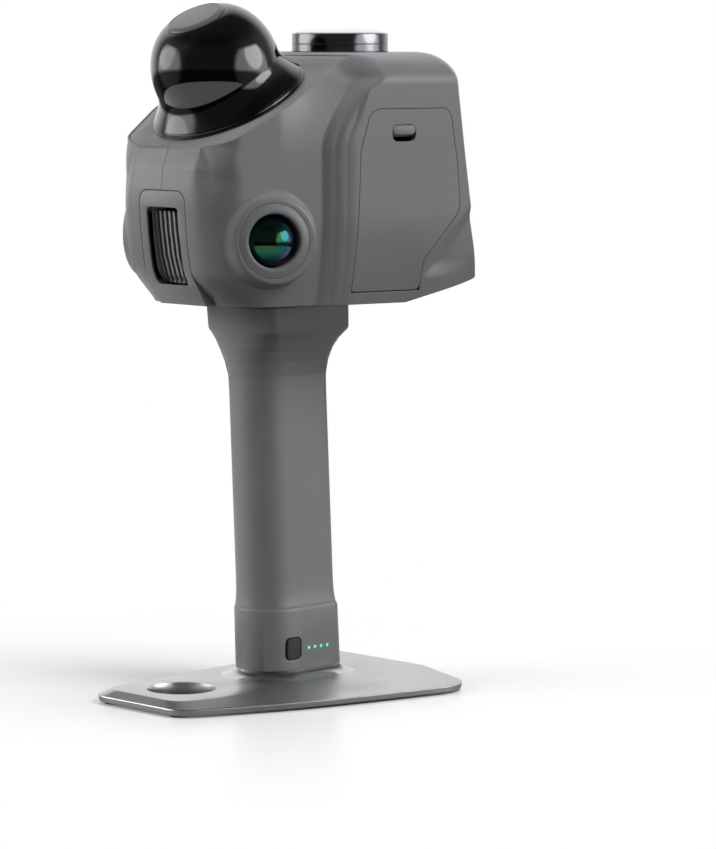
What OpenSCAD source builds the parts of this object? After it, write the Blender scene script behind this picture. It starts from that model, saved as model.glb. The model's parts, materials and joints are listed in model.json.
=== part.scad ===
// Handheld scanner: sensor head on a leaning grip that stands on a flared plate.
// Z is up, the nose looks to -Y, the hatch is on the +X side, the foot stands at the origin.

/* [Head] */
// Width of the head across its rear corners
head_w = 124; // [118:1:132]
// Length of the head from the nose to the rear face
head_l = 118; // [114:1:126]
// Height of the head from its underside to its top face
head_h = 101; // [98:1:108]
// Wall thickness of the moulded shells
wall = 2.6; // [2.2:0.1:3]

/* [Dome sensor] */
// Radius of the trim ring round the dome
dome_trim_r = 32.5; // [31:0.5:33.5]
// Height of the dome above the slanted deck
dome_h = 38.8; // [36:0.2:42]
// Radius of the flat cap on the dome
dome_cap_r = 12.4; // [11:0.2:13.5]

/* [Side lenses] */
// Radius of the front glass of a side lens
lens_r = 10.7; // [9.5:0.1:11.5]
// Outer radius of the bezel round the glass
bezel_r = 15; // [14.2:0.1:16]

/* [Dock] */
// Radius of the round dock on top of the head
dock_r = 20; // [17:0.5:22]
// Height of the lift-off dock cap
dock_cap_h = 6.3; // [5.6:0.1:8]

/* [Grip] */
// Length of the grip from the plate to the neck
grip_l = 152.8; // [150.8:1:172]
// Width of the grip across the flat sides
grip_w = 26.6; // [26:0.2:30]
// Depth of the grip from front to rear
grip_d = 40.3; // [39:0.1:44]
// Forward lean of the grip in degrees
grip_lean = 2.5; // [0:0.1:3.5]

/* [Plate] */
// Length of the standing plate
plate_l = 134; // [128:1:150]
// Width of the standing plate across the rear corners
plate_w = 111; // [102:1:122]
// Radius of the hole through the front of the plate
hole_r = 14.1; // [11:0.1:15]

/* [Fits] */
// Gap between a moving piece and its surround
gap = 0.4; // [0.3:0.05:0.5]
// Travel of the power button
button_travel = 0.8; // [0.4:0.1:1]
// Travel of the hatch latch
latch_travel = 2.4; // [1.5:0.1:2.6]

/* [Hidden] */
$fn = 48;

// scales from the drawn head, grip and plate to the chosen sizes
kx = head_w / 124;
ky = head_l / 118;
kz = head_h / 101;
kpx = plate_w / 111;
kpy = plate_l / 134;

// heights
foot_t = 0.8;
rim_z = 3.3;
plate_z = 6.2;
foot_z = 8;
step_z = foot_z + 27.4;
neck_z = foot_z + grip_l;
neck_t = 1.5;
head_z = neck_z + neck_t;
// inner floor of the head
floor_z = head_z + wall * kz;

function cl(t) = max(0, min(1, t));
function sm(t) = let(u = cl(t)) u * u * (3 - 2 * u);
function mix(a, b, t) = a + (b - a) * t;
function arcf(t, p) = pow(max(0, 1 - pow(1 - cl(t), p)), 1 / p);

// head outline, drawn at its basic size with z measured from the underside
top_z = 101;
deck_m = 0.545;
deck_y0 = -32.9;
deck_z0 = 81.7;
function deck_zy(y) = deck_z0 + deck_m * (y - deck_y0);
function deck_yz(z) = deck_y0 + (z - deck_z0) / deck_m;
nose = [[0, -52.8], [6.5, -59.6], [11.5, -64.6], [14.5, -66.3], [20, -67.3], [28, -68.4], [40, -69.4],
    [47, -69.5], [55.7, -68.6], [64.2, -65.4]];
function nose_y(z) = lookup(z, nose);
function crease(y) =
    y < -39.4 ? 19 + 19.4 * arcf((y + 65.4) / 26, 2.4)
    : y > -25 ? 38.4 - 9 * pow((y + 25) / 24, 2.5)
    : 38.4;
// three shallow risers run up the side and close up towards the top
function ridge(z) = -22.5 + 17.5 * pow(max(0, min(z, 91) - 62.7) / 26, 1.7);
function ridge_d(z) = 4.6 - 3.4 * sm((z - 72) / 18);
function ridge_w(z) = min(ridge_d(z), 4.6 - 2.4 * sm((z - 58) / 16));
function riser(t) = 1 - pow(1 - cl(t), 1.8);
function swell(y, z) =
    let(a = y - ridge(z), d = ridge_d(z), w = ridge_w(z))
    mix((riser(a / w) + riser((a - d) / w) + riser((a - 2 * d) / w)) / 3, riser(a / (2 * d + w)), 0.5);
// shallow groove below and behind the hatch
function scoop(y, z) =
    let(a = ((y + 8) / 0.9756 - 31.2) * 0.758 - (z - 17.2) * 0.653)
    1.4 * sm((a - 2.5) / 4) * (1 - sm((a - 6) / 14)) * sm((z - 9) / 8);
function tuck(z) = 4 * pow(cl((37.7 - z) / 37.7), 2);
function crown(z) = let(t = cl((z - 89) / 12)) 20 * (1 - sqrt(max(0, 1 - t * t)));
function side_f(y, z) =
    let(w = 36.4 + 0.3 * (y + 46.5))
    w - tuck(z) - max(0, w - crease(y)) * pow(cl(1 - (deck_zy(y) - z) / 26), 2);
function side_r(y, z) = 50.4 + 0.225 * (y + 8) - tuck(z) - crown(z) - scoop(y, z);
function side(y, z) = mix(side_f(y, z), side_r(y, z), swell(y, z));
function front_y(z, o) = max(nose_y(z) + o, z < 60 ? -99 : deck_yz(z) + o * 2.09);
function wall_y(z) = 57 - 0.06 * (z - 14) - 0.05 * crown(z);
// the chamfer under the rear runs into the rear wall with a soft corner
function rear_y(z, o) =
    let(a = 16.5 + 3.9 * z - 4.03 * o, b = wall_y(z) - o)
    min(a, b) - 6 * pow(cl(1 - abs(a - b) / 24), 2);
function corner_y(z) = min(wall_y(z) - 3, 51.4 - 0.135 * (z - 14)) - 0.3 * crown(z);
rear_w = 42.2;
function flat_w(z) = 15 + 4 * sm((z - 46) / 18) - 1.5 * cl((20 - z) / 20);
function edge_l(z) = 14 - 5 * sm((z - 50) / 12);
function out_x(y, z, o) =
    let(yr = wall_y(z), s = side(y, z), w = rear_w - 0.9 * crown(z))
    let(a = flat_w(z) + (s - flat_w(z)) * arcf((y - o - nose_y(z)) / edge_l(z), 2.2))
    min(a, w + (s - w) * arcf((yr - o - y) / (yr - corner_y(z) + 4), 1.1)) - o;
steps = [0, 0.012, 0.035, 0.07, 0.12, 0.18, 0.25, 0.285, 0.32, 0.345, 0.37, 0.39, 0.405, 0.425, 0.44,
    0.46, 0.475, 0.53, 0.6, 0.68, 0.75, 0.8, 0.85, 0.89, 0.92, 0.945, 0.965, 0.985, 1];
coarse = [0, 0.03, 0.06, 0.1, 0.15, 0.2, 0.25, 0.29, 0.33, 0.37, 0.41, 0.45, 0.5, 0.58, 0.72, 0.84, 0.92,
    0.97, 1];
function section(z, zw, o, list, x0) =
    let(a = front_y(z, o), b = rear_y(z, o))
    concat([[x0, a * ky, zw]],
        [for (t = list) let(y = mix(a, b, t)) [max(0.5, out_x(y, z, o)) * kx, y * ky, zw]],
        [[x0, b * ky, zw]]);
levels = [0, 3, 6.5, 8.5, 10.4, 11.5, 13, 14.5, 17, 20, 28, 40, 47, 55.7, 64.2, 68, 73, 79, 85, 89, 92, 95,
    97.5, 99.3, 100.5, 101];
hollow = [0, 4, 8, 11, 16, 28, 44, 56, 64, 70, 76, 82, 87, 91, 95, 98, 101];
function cumz(z, o) = mix(o, top_z - o, z / top_z);

module skin(list, zs, o, x0) {
    n = len(list) + 2;
    m = len(zs);
    pts = [for (z = zs) each section(cumz(z, o), head_z + cumz(z, o) * kz, o, list, x0)];
    polyhedron(
        points = pts,
        faces = concat(
            [[for (i = [0:n - 1]) i]],
            [for (j = [0:m - 2]) for (i = [0:n - 1])
                each [[j * n + i, (j + 1) * n + i, (j + 1) * n + (i + 1) % n],
                    [j * n + i, (j + 1) * n + (i + 1) % n, j * n + (i + 1) % n]]],
            [[for (i = [n - 1:-1:0]) (m - 1) * n + i]]),
        convexity = 6);
}

// wall of the right half of the head, open along the middle plane
module half_wall() {
    difference() {
        skin(steps, levels, 0, 0.1);
        skin(coarse, hollow, wall, -4);
    }
}

// local frames
deck_tilt = atan(deck_m * kz / ky);
module at_deck() {
    translate([0, deck_y0 * ky, head_z + deck_z0 * kz]) rotate([deck_tilt, 0, 0]) children();
}
lens_turn = 22;
lens_c = [36.05 * kx, -44 * ky, head_z + 26.9 * kz];
module at_lens() {
    translate(lens_c) rotate([0, 0, -lens_turn]) rotate([0, 90, 0]) children();
}
hatch_turn = atan(0.225 * kx / ky);
hatch_c = [50.4 * kx, -8 * ky, head_z];
hatch_k = ky / cos(hatch_turn) * 0.9754;
// x runs along the side to the rear, y runs up, z runs out of the head
module at_hatch() {
    translate(hatch_c) rotate([0, 0, -hatch_turn]) rotate([90, 0, 90]) children();
}
rear_tilt = atan(0.06 * ky / kz);
rear_c = [0, rear_y(55, 0) * ky, head_z + 55 * kz];
// x runs across, y runs up the rear face, z runs out of it
module at_rear() {
    translate(rear_c) rotate([rear_tilt, 0, 0]) rotate([90, 0, 180]) children();
}

hatch_pts = [[-2.5, 5], [27, 5], [29.6, 8.5], [31.2, 17.2], [47.4, 36], [48.2, 40],
    [46.6, 57.5], [43.8, 75.5], [41.3, 78.7], [8.5, 78.7], [4.8, 76.3], [0.4, 62.4], [-0.4, 40]];
module hatch_outline(d) {
    offset(delta = d) polygon([for (p = hatch_pts) [p[0] * hatch_k, p[1] * kz]]);
}
pin_r = 0.7;
pin_y = 5 * kz + 1.8;
pin_w = -4.1;
pin_a = -2.4 * hatch_k;
pin_b = 30.2 * hatch_k;
// rod on the hinge line of the hatch, longer by d at each end
module pin_rod(d, r) {
    at_hatch() translate([pin_a - d, pin_y, pin_w]) rotate([0, 90, 0])
        cylinder(r = r, h = pin_b - pin_a + 2 * d);
}

function deck_half(d) = [for (i = [0:16]) let(y = -64.2 + 64.4 * pow(i / 16, 1.5))
    [(out_x(y, deck_zy(y), 0) - 1.3) * kx + d,
        (y - deck_y0) * ky / cos(deck_tilt) + (i == 0 ? -d : i == 16 ? d : 0)]];
module deck_outline(d) {
    h = deck_half(d);
    polygon(concat(h, [for (i = [16:-1:0]) [-h[i][0], h[i][1]]]));
}
deck_t = 3;

vent_w = 13.6;
vent_top = 46.4;
module vent_face(d) {
    // outline of the front panel seen along the nose
    r = 5;
    translate([-vent_w - d, -4]) square([2 * (vent_w + d), vent_top * kz + 4 - r + d]);
    translate([-vent_w - d + r, -4]) square([2 * (vent_w + d - r), vent_top * kz + 4 + d]);
    for (s = [-1, 1]) translate([s * (vent_w + d - r), vent_top * kz - r + d]) circle(r);
}
module along_nose(depth) {
    translate([0, depth - 80 * ky, head_z]) rotate([90, 0, 0]) linear_extrude(depth) children();
}

module lens_cut() {
    at_lens() translate([0, 0, -8]) cylinder(r = bezel_r + 0.6, h = 24);
}
module lens_boss() {
    at_lens() rotate_extrude($fn = 64) polygon([[bezel_r + 0.1, -1], [17.6, -2.6], [20.6, -2.6], [20, 0.6],
        [18.6, 1.9], [17.4, 3.6], [16.4, 4.6], [bezel_r + 0.1, 4.6]]);
}

display_w = 76;
display_h = 56;
display_y = 2;
module head_cuts() {
    at_deck() translate([0, 0, -deck_t - gap / 2]) linear_extrude(20) deck_outline(0.25);
    along_nose(31.5 * ky) vent_face(0.25);
    translate([0, 29.8 * ky, head_z + head_h - 12]) cylinder(r = 12.3, h = 20);
    translate([0, neck_y, head_z - 2]) cylinder(r = 9.5, h = wall + 4);
    at_rear() translate([-display_w / 2, display_y - display_h / 2, -12]) cube([display_w, display_h, 20]);
    for (p = neck_holes) translate([p[0], p[1], head_z - 2]) cylinder(r = 1.75, h = wall + 4, $fn = 24);
}

module shell_right() {
    color([0.46, 0.47, 0.48]) difference() {
        union() {
            difference() {
                half_wall();
                lens_cut();
            }
            lens_boss();
        }
        head_cuts();
        at_hatch() translate([0, 0, -12]) linear_extrude(20) hatch_outline(0);
        pin_rod(1.4, pin_r);
        pin_rod(0, 2.3);
    }
}
module shell_left() {
    color([0.46, 0.47, 0.48]) mirror([1, 0, 0]) difference() {
        union() {
            difference() {
                half_wall();
                lens_cut();
            }
            lens_boss();
        }
        head_cuts();
    }
}

// front panel with its air opening; its foot stands proud of the chamfer under the nose
panel = [[0, -57.8], [6, -61.4], [11.5, -64.9], [14.5, -66.3], [20, -67.3], [28, -68.4], [40, -69.4],
    [47, -69.5]];
panel_back = [for (i = [len(nose) - 1:-1:0]) if (nose[i][0] < 50) [nose[i][0], nose[i][1] + 2.8 / ky]];
// outline in the middle plane given as height and y, pulled to a width across the head
module across(list, w) {
    translate([w / 2, 0, head_z]) rotate([90, 0, -90]) linear_extrude(w)
        polygon([for (p = list) [-p[1] * ky, max(0.2, p[0] * kz)]]);
}
module vent_panel() {
    color([0.45, 0.46, 0.47]) difference() {
        intersection() {
            along_nose(32 * ky) vent_face(0);
            union() {
                across(concat(panel, panel_back), 2 * vent_w);
                for (s = [-1, 1]) translate([s * 12 - 1, -65.5 * ky, head_z + 15 * kz])
                    cube([2, 6.5 * ky, 23 * kz]);
            }
        }
        along_nose(26 * ky) translate([-7.9, 8.4 * kz + 1.5])
            offset(r = 1.5, $fn = 24) square([15.8, 31.4 * kz - 3]);
    }
}
sink_y = -59 * ky;
fin = [[9, -58.9], [9.5, -59.4], [12, -60.9], [20, -63.3], [30, -64.8], [38, -65.6], [38, -58.9]];
module heat_sink() {
    color([0.3, 0.31, 0.32]) {
        translate([-14, sink_y, head_z + 9 * kz]) cube([28, 2.4, 29 * kz]);
        for (i = [-3:3]) translate([i * 2.7, 0, 0]) across(fin, 1);
    }
}
fan_c = [0, sink_y + 2.4, head_z + 25 * kz];
fan_r = 16.5;
module at_fan() {
    translate(fan_c) rotate([-90, 0, 0]) children();
}
module fan_housing() {
    color([0.12, 0.12, 0.13]) at_fan() difference() {
        translate([-18, -18, 0]) cube([36, 17 * kz + 18, 9]);
        translate([0, 0, -1]) cylinder(r = fan_r, h = 8.6);
        for (a = [45:90:315]) rotate([0, 0, a]) translate([9.6, 0, 5]) cylinder(r = 4, h = 6);
        translate([0, 0, -1]) cylinder(r = 1.55, h = 12);
    }
}
module fan_rotor() {
    color([0.18, 0.18, 0.2]) at_fan() {
        translate([0, 0, 1]) cylinder(r = 7, h = 5.6);
        translate([0, 0, 1]) cylinder(r = 1.5, h = 7.6);
        for (a = [0:360 / 7:359]) rotate([0, 0, a]) translate([6.5, -0.5, 1.4]) rotate([24, 0, 0])
            cube([9.2, 1, 4.2]);
    }
}

// slanted deck that carries the dome sensor
module lidar_deck() {
    color([0.45, 0.46, 0.47]) at_deck() difference() {
        translate([0, 0, -deck_t]) linear_extrude(deck_t) deck_outline(0);
        translate([0, 0, -deck_t - 1]) cylinder(r = dome_trim_r - 5.3, h = deck_t + 2);
    }
}
module lidar_base() {
    color([0.35, 0.36, 0.37]) at_deck() difference() {
        union() {
            translate([0, 0, -20]) cylinder(r = dome_trim_r - 2.5, h = 20 - deck_t);
            translate([0, 0, -deck_t - 0.1]) cylinder(r = dome_trim_r - 5.5, h = deck_t + 0.1);
        }
        for (z = [-18:3:-8]) translate([0, 0, z]) difference() {
            cylinder(r = dome_trim_r - 1.5, h = 1.4);
            translate([0, 0, -1]) cylinder(r = dome_trim_r - 6.5, h = 4);
        }
        translate([0, 0, -12]) cylinder(r = 2.6, h = 13);
    }
}
trim = [[3.4, 0], [0, 0], [0, 0.8], [0.9, 1.2], [0.9, 1.8], [1.8, 2.2], [3.4, 2.2]];
module lidar_trim() {
    color([0.05, 0.05, 0.06]) at_deck() rotate_extrude($fn = 96)
        polygon([for (p = trim) [dome_trim_r - p[0], p[1]]]);
}
dome_foot = dome_trim_r - 3.5;
// radius of the dome at a share t of its height
function dome_rad(t) = t < 0.38
    ? mix(dome_foot - 3 + 0.2 * sm((t - 0.12) / 0.26), dome_foot - 0.1, pow(cl(1 - t / 0.335), 1.5))
    : mix(dome_cap_r, dome_foot - 2.8, pow(max(0, 1 - pow((t - 0.38) / 0.62, 2)), 0.63));
dome_n = 26;
module lidar_dome() {
    color([0.03, 0.03, 0.035]) at_deck() rotate_extrude($fn = 96) polygon(concat(
        [[dome_foot, 0], [dome_foot, 1.6]],
        [for (i = [1:dome_n]) [dome_rad(i / dome_n), 1.6 + (dome_h - 3) * i / dome_n]],
        [for (i = [dome_n:-1:1]) [dome_rad(i / dome_n) - 2, 1.6 + (dome_h - 5) * i / dome_n]],
        [[dome_foot - 2, 0]]));
}
module lidar_cap() {
    color([0.25, 0.25, 0.26]) at_deck() translate([0, 0, dome_h - 3.4]) rotate_extrude($fn = 72)
        polygon([[0, 0], [dome_cap_r - 2.1, 0], [dome_cap_r - 2.1, 2], [dome_cap_r, 2],
            [dome_cap_r - 0.5, 2.9], [dome_cap_r - 2.4, 3.4], [0, 3.4]]);
}
module lidar_stator() {
    color([0.5, 0.42, 0.3]) at_deck() difference() {
        cylinder(r = 11, h = 5);
        translate([0, 0, -1]) cylinder(r = 2.05, h = 7);
    }
}
module lidar_rotor() {
    color([0.7, 0.72, 0.74]) at_deck() {
        translate([0, 0, -8]) cylinder(r = 2, h = 16);
        difference() {
            translate([0, 0, 5.6]) cylinder(r = 16, h = 20);
            translate([-20, -20, 14]) rotate([35, 0, 0]) cube([40, 50, 40]);
        }
    }
}

// one side lens, drawn on the right
module bezel_ring() {
    at_lens() rotate_extrude($fn = 72) polygon([[lens_r + 0.05, -3], [bezel_r, -3], [bezel_r, 5.2],
        [bezel_r - 0.6, 5.8], [lens_r + 0.9, 5.8], [lens_r + 0.05, 5]]);
}
module glass_disc() {
    at_lens() intersection() {
        cylinder(r = lens_r, h = 7);
        translate([0, 0, 6.4 - 16]) sphere(r = 16, $fn = 96);
    }
}
module camera_body() {
    at_lens() difference() {
        union() {
            translate([0, 0, -14]) cylinder(r = lens_r, h = 14);
            translate([-9.5, -9.5, -16]) cube([19, 19, 2.01]);
            translate([0, 0, -4.6]) cylinder(r = bezel_r, h = 1.6);
        }
        translate([0, 0, -9]) cylinder(r = lens_r - 2.4, h = 10);
    }
}
module bezel_right() color([0.5, 0.51, 0.52]) bezel_ring();
module bezel_left() color([0.5, 0.51, 0.52]) mirror([1, 0, 0]) bezel_ring();
module lens_right() color([0.05, 0.08, 0.08]) glass_disc();
module lens_left() color([0.05, 0.08, 0.08]) mirror([1, 0, 0]) glass_disc();
module camera_right() color([0.1, 0.1, 0.11]) camera_body();
module camera_left() color([0.1, 0.1, 0.11]) mirror([1, 0, 0]) camera_body();

// round dock and its lift-off cap
dock_c = [0, 29.8 * ky, head_z + head_h];
dock_ring_h = 3.3;
module dock_ring() {
    color([0.2, 0.2, 0.21]) translate(dock_c) {
        cylinder(r = dock_r, h = dock_ring_h, $fn = 96);
        cylinder(r = 9, h = dock_ring_h + 3, $fn = 64);
        translate([0, 0, -wall - 3]) cylinder(r = 12, h = wall + 3.1, $fn = 64);
    }
}
module dock_cap() {
    color([0.16, 0.16, 0.17]) translate(dock_c + [0, 0, dock_ring_h]) difference() {
        rotate_extrude($fn = 96) polygon([[0, 0], [dock_r, 0], [dock_r, 4.2], [dock_r - 0.7, 4.6],
            [dock_r - 4, dock_cap_h - 0.3], [dock_r - 9, dock_cap_h], [0, dock_cap_h]]);
        translate([0, 0, -1]) cylinder(r = 9.4, h = 4.4, $fn = 64);
    }
}

// side hatch with its pin, latch and bay
module hatch_door() {
    color([0.44, 0.45, 0.46]) difference() {
        union() {
            intersection() {
                half_wall();
                at_hatch() translate([0, 0, -12]) linear_extrude(20) hatch_outline(-gap);
            }
            pin_rod(-6, 1.35);
        }
        pin_rod(1, pin_r + 0.06);
        at_slot(-12) linear_extrude(20) pill(slot_w, slot_h);
    }
}
module hatch_pin() {
    color([0.7, 0.7, 0.72]) pin_rod(1.4, pin_r);
}
slot_w = 11.2;
slot_h = 6.8;
module pill(w, h) {
    square([w - h, h], center = true);
    for (s = [-1, 1]) translate([s * (w - h) / 2, 0]) circle(h / 2);
}
module at_slot(z) {
    at_hatch() translate([15.4 * hatch_k + slot_w / 2, 68.8 * kz, z]) children();
}
tongue_h = slot_h - latch_travel - 2 * gap;
module hatch_latch() {
    color([0.42, 0.43, 0.44]) {
        at_slot(-wall - 0.5) translate([0, (slot_h - tongue_h) / 2 - gap, 0])
            linear_extrude(wall + 1) pill(slot_w - 2.2, tongue_h);
        at_slot(-wall - 1.9) translate([0, (slot_h - tongue_h) / 2 - gap, 0])
            linear_extrude(1.5) square([slot_w + 6, tongue_h + 2], center = true);
    }
}
bay_x = 6;
bay_w = 36 * hatch_k;
bay_y = 22 * kz;
bay_h = 40 * kz;
bay_d = 16;
bay_z = -wall - 3.4;
module bay_tray() {
    color([0.2, 0.2, 0.21]) at_hatch() difference() {
        translate([bay_x, bay_y, bay_z - bay_d]) cube([bay_w, bay_h, bay_d]);
        translate([bay_x + 1.6, bay_y + 1.6, bay_z - bay_d + 1.6]) cube([bay_w - 3.2, bay_h - 3.2, bay_d]);
    }
}
module storage_module() {
    color([0.1, 0.3, 0.2]) at_hatch() translate([bay_x + 6, bay_y + 1.6, bay_z - bay_d + 1.6])
        cube([22, 32 * kz, 4]);
}

// rear display
module at_display(d, z) {
    at_rear() translate([-display_w / 2 - d, display_y - display_h / 2 - d, z]) children();
}
module display_bezel() {
    color([0.08, 0.08, 0.09]) difference() {
        at_display(3, 0) cube([display_w + 6, display_h + 6, 1.6]);
        at_display(-3, -1) cube([display_w - 6, display_h - 6, 4]);
    }
}
module display_glass() {
    color([0.02, 0.02, 0.03]) at_display(-3, -1.4) cube([display_w - 6, display_h - 6, 2.4]);
}
module display_module() {
    color([0.3, 0.3, 0.32]) at_display(-2, -5.4) cube([display_w - 4, display_h - 4, 4]);
}

// frame and boards inside the head
board_z = head_z + 12;
chassis_x = 25 * kx;
arm = hatch_c[0] - chassis_x + 6;
module chassis() {
    color([0.6, 0.61, 0.62]) difference() {
        union() {
            translate([-chassis_x, -46 * ky, floor_z]) cube([2 * chassis_x, 60 * ky, 2.5]);
            translate([-16, -50 * ky, floor_z]) cube([32, 4 * ky + 1, (8 - wall) * kz]);
            for (x = [-1, 1]) for (y = [-24, -2])
                translate([x * (chassis_x - 4.5), y * ky, floor_z + 2.4])
                    cylinder(r = 3, h = board_z - floor_z - 2.4, $fn = 32);
            at_hatch() translate([7, wall * kz + 0.3, -arm]) cube([8, 1.9, arm - 11]);
            at_hatch() translate([7, wall * kz + 0.3, -18]) cube([8, bay_y - wall * kz - 0.3, 6]);
        }
        translate([0, neck_y, head_z]) cylinder(r = 9.5, h = 12);
        for (p = neck_holes) translate([p[0], p[1], head_z]) cylinder(r = 1.75, h = 12, $fn = 24);
    }
}
module main_board() {
    color([0.05, 0.25, 0.15]) {
        translate([-chassis_x, -30 * ky, board_z]) cube([2 * chassis_x, 50 * ky, 1.6]);
        translate([-12, -22 * ky, board_z + 1.5]) cube([20, 20, 2.5]);
    }
}

// neck between the grip and the head
lean = tan(grip_lean);
function grip_y(z) = -2.5 - (z - 20) * lean;
neck_y = grip_y(neck_z) + 2;
neck_holes = [for (x = [-12.5, 12.5]) for (y = [-14, 12]) [x, neck_y + y]];
module neck_plate() {
    color([0.07, 0.07, 0.08]) difference() {
        translate([-17.5, neck_y - 22, neck_z]) cube([35, 42, neck_t]);
        translate([0, neck_y, neck_z - 1]) cylinder(r = 8, h = 6);
        for (p = neck_holes) translate([p[0], p[1], neck_z - 1]) cylinder(r = 1.75, h = 6, $fn = 24);
    }
}
module neck_screws() {
    color([0.55, 0.55, 0.57]) for (p = neck_holes) translate([p[0], p[1], 0]) {
        translate([0, 0, neck_z - 7]) cylinder(r = 1.5, h = floor_z - neck_z + 9.6, $fn = 24);
        translate([0, 0, floor_z + 2.5]) cylinder(r = 2.8, h = 2, $fn = 32);
    }
}

// grip: stacked sections that lean forward, round in front with a reach a, corners of radius r at the rear
function bow(w, y, a, t) = [w * pow(sin(t), 0.92), y + a - a * pow(cos(t), 0.92)];
function ring(z, w, f, b, a, r) = let(c = grip_y(z)) concat(
    [for (t = [0:9:90]) let(p = bow(w, c - f, a, t)) [p[0], p[1], z]],
    [for (t = [0:22.5:90]) [w - r + r * cos(t), c + b - r + r * sin(t), z]],
    [for (t = [90:-22.5:0]) [-w + r - r * cos(t), c + b - r + r * sin(t), z]],
    [for (t = [90:-9:9]) let(p = bow(w, c - f, a, t)) [-p[0], p[1], z]]);
module loft(rings) {
    n = len(rings[0]);
    m = len(rings);
    polyhedron(
        points = [for (r = rings) each r],
        faces = concat(
            [[for (i = [0:n - 1]) i]],
            [for (j = [0:m - 2]) for (i = [0:n - 1])
                each [[j * n + i, (j + 1) * n + i, (j + 1) * n + (i + 1) % n],
                    [j * n + i, (j + 1) * n + (i + 1) % n, j * n + (i + 1) % n]]],
            [[for (i = [n - 1:-1:0]) (m - 1) * n + i]]),
        convexity = 4);
}
gw = grip_w / 2;
gf = grip_d / 2 + 1.35;
gb = grip_d / 2 - 1.35;
function grip_z(z) = step_z + (z - 35.4) * (neck_z - step_z) / 125.4;
// height, then what is added to the half width, the front and the rear, then the reach of the front
grip_rings = [[35.4, 0.7, 0.6, 0.6, 15], [39, 0.25, 0.2, 0.2, 15], [46, 0, 0, 0, 15],
    [125.5, -0.1, 0, -0.2, 15], [131.5, 0, 0.2, -0.1, 15], [137.5, 0.7, 1.4, 0.9, 14.2],
    [142.5, 2.1, 2.6, 2.5, 13], [146.5, 4, 3.1, 4.6, 11.8], [149.3, 6, 3.5, 6.9, 10.6],
    [151, 6.8, 3.8, 7.2, 10.2], [160.8, 7, 4.1, 7.3, 10]];
function hollow_ring(z, d) = ring(z, gw - 2.4 + d, gf - 2.6 + d, gb - 2.6 + d, 12.6, 3);
module handle_grip() {
    color([0.46, 0.47, 0.48]) difference() {
        loft([for (r = grip_rings) ring(grip_z(r[0]), gw + r[1], gf + r[2], gb + r[3], r[4], 4.5)]);
        loft([for (r = [[34, 0], [128, 0], [138, 0], [147, 1.5], [156, 3.5]])
            hollow_ring(grip_z(r[0]), r[1])]);
        translate([0, neck_y, neck_z - 12]) cylinder(r = 8, h = 20);
        for (p = neck_holes) translate([p[0], p[1], neck_z - 7.2]) cylinder(r = 1.5, h = 12, $fn = 24);
    }
}
foot_w = gw + 1.2;
foot_f = gf + 1.2;
foot_b = gb + 1;
btn_z = foot_z + 10.4;
btn_y = -8.4;
btn_w = 8.6;
btn_h = 9.4;
led_y = [0, 3.5, 7, 10.5];
module handle_foot() {
    color([0.46, 0.47, 0.48]) difference() {
        loft([ring(foot_z, foot_w, foot_f, foot_b, 15.5, 4),
            ring(step_z, foot_w - 0.2, foot_f - 0.2, foot_b - 0.2, 15.5, 4)]);
        loft([for (z = [foot_z + 5, step_z + 1]) hollow_ring(z, 0)]);
        at_button(4) linear_extrude(20) pad_shape(0);
        for (y = led_y) translate([0, grip_y(btn_z) + y, btn_z - 0.5]) rotate([0, 90, 0])
            cylinder(r = 0.7, h = 30, $fn = 20);
        for (p = foot_holes) translate([p[0], p[1], foot_z - 1]) cylinder(r = 1.5, h = 5.2, $fn = 24);
        translate([0, 0, foot_z - 1]) cylinder(r = 5.2, h = 4, $fn = 36);
    }
}
foot_holes = [for (x = [-8, 8]) for (y = [-12, 10]) [x, y - 2]];
// rounded square that lies in the side of the foot
module pad_shape(d) {
    r = 2.2;
    w = btn_w / 2 - d;
    h = btn_h / 2 - d;
    square([2 * w, 2 * (h - r)], center = true);
    square([2 * (w - r), 2 * h], center = true);
    for (x = [-1, 1]) for (y = [-1, 1]) translate([x * (w - r), y * (h - r)]) circle(r, $fn = 24);
}
module at_button(x) {
    translate([x, grip_y(btn_z) + btn_y, btn_z]) rotate([90, 0, 90]) children();
}
board_x = gw - 4.4;
module power_button() {
    color([0.13, 0.13, 0.14]) at_button(board_x + 1.9 + button_travel)
        linear_extrude(foot_w + 0.2 - board_x - 1.9 - button_travel) pad_shape(0.3);
}
module switch_board() {
    color([0.05, 0.25, 0.15]) {
        translate([board_x, grip_y(btn_z) - 11, foot_z + 5]) cube([1.2, 23, 14]);
        at_button(board_x + 1.1) linear_extrude(0.7) square([4, 4], center = true);
    }
}
module led_pipes() {
    color([0.3, 0.95, 0.7]) for (y = led_y) translate([board_x + 1.2, grip_y(btn_z) + y, btn_z - 0.5])
        rotate([0, 90, 0]) cylinder(r = 0.7, h = foot_w - board_x - 1.2, $fn = 20);
}

// cells in their cradle
cell_r = 9.15;
cell_h = 65;
cell_z = foot_z + 8;
module at_cells() {
    translate([-1.5, grip_y(cell_z) + 1, cell_z]) rotate([grip_lean, 0, 0]) children();
}
module cell(z) {
    color([0.15, 0.35, 0.6]) at_cells() translate([0, 0, z]) cylinder(r = cell_r, h = cell_h);
}
module cell_lower() cell(0);
module cell_upper() cell(cell_h);
module cell_cradle() {
    color([0.1, 0.1, 0.11]) difference() {
        union() {
            at_cells() translate([-8, 4, -2]) cube([16, 9.4, 2 * cell_h + 2]);
            translate([-9, grip_y(cell_z) - 9, foot_z + 5]) cube([15, 22, 2.4]);
        }
        at_cells() cylinder(r = cell_r, h = 2 * cell_h + 4);
    }
}

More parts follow.
